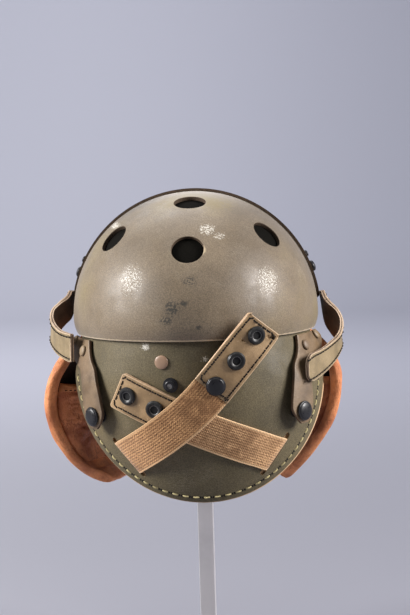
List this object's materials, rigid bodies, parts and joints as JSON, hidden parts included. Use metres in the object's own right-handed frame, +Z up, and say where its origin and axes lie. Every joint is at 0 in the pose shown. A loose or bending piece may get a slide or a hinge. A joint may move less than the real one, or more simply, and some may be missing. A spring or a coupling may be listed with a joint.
{
  "type": "tanker helmet on a display stand",
  "caption": "Olive pressed-fibre tanker helmet with neck guard, crossing elastic straps, goggle loops and brown leather ear flaps, on a plain display stand.",
  "frame": {"origin": "centre of the underside of the stand's base", "axes": "+Z up, +Y the way the wearer faces, +X to the wearer's right"},
  "size_m": [0.245, 0.2384, 0.3851],
  "materials": {
    "olive_fibre": "worn semi-matt paint",
    "tan_lining": "matt",
    "elastic_webbing": "woven",
    "olive_leather": "worn",
    "brown_leather": "soft grain",
    "dark_leather": "smooth",
    "black_enamel": "black enamel",
    "painted_rivet": "painted",
    "stand_paint": "satin paint"
  },
  "bodies": {
    "root": {"crown": "olive_fibre", "brow_shell": "olive_fibre", "shell_rivet_left": "black_enamel", "shell_rivet_right": "black_enamel", "shell_snap_left": "black_enamel", "shell_snap_right": "black_enamel", "neck_guard": "olive_fibre", "neck_guard_lining": "tan_lining", "guard_rivet_left": "painted_rivet", "guard_rivet_right": "painted_rivet", "guard_stud_left": "black_enamel", "guard_stud_right": "black_enamel", "webbing_upper": "elastic_webbing", "webbing_lower": "elastic_webbing", "strap_tab_upper": "olive_leather", "strap_tab_lower": "olive_leather", "strap_cap_upper": "black_enamel", "strap_socket_upper_1": "black_enamel", "strap_socket_upper_2": "black_enamel", "strap_socket_lower_1": "black_enamel", "strap_socket_lower_2": "black_enamel", "side_tab_left": "olive_leather", "side_tab_right": "olive_leather", "side_tab_snap_left": "black_enamel", "side_tab_snap_right": "black_enamel", "side_tab_stud_left": "black_enamel", "side_tab_stud_right": "black_enamel", "side_tab_rivet_left_1": "painted_rivet", "side_tab_rivet_left_2": "painted_rivet", "side_tab_rivet_right_1": "painted_rivet", "side_tab_rivet_right_2": "painted_rivet", "goggle_loop_left": "olive_leather", "goggle_loop_right": "olive_leather", "ear_flap_left": "brown_leather", "ear_flap_right": "brown_leather", "ear_pocket_left": "brown_leather", "ear_pocket_right": "brown_leather", "ear_cup_left": "dark_leather", "ear_cup_right": "dark_leather", "stand_base": "stand_paint", "stand_post": "stand_paint", "stand_rest": "stand_paint"}
  },
  "joints": []
}
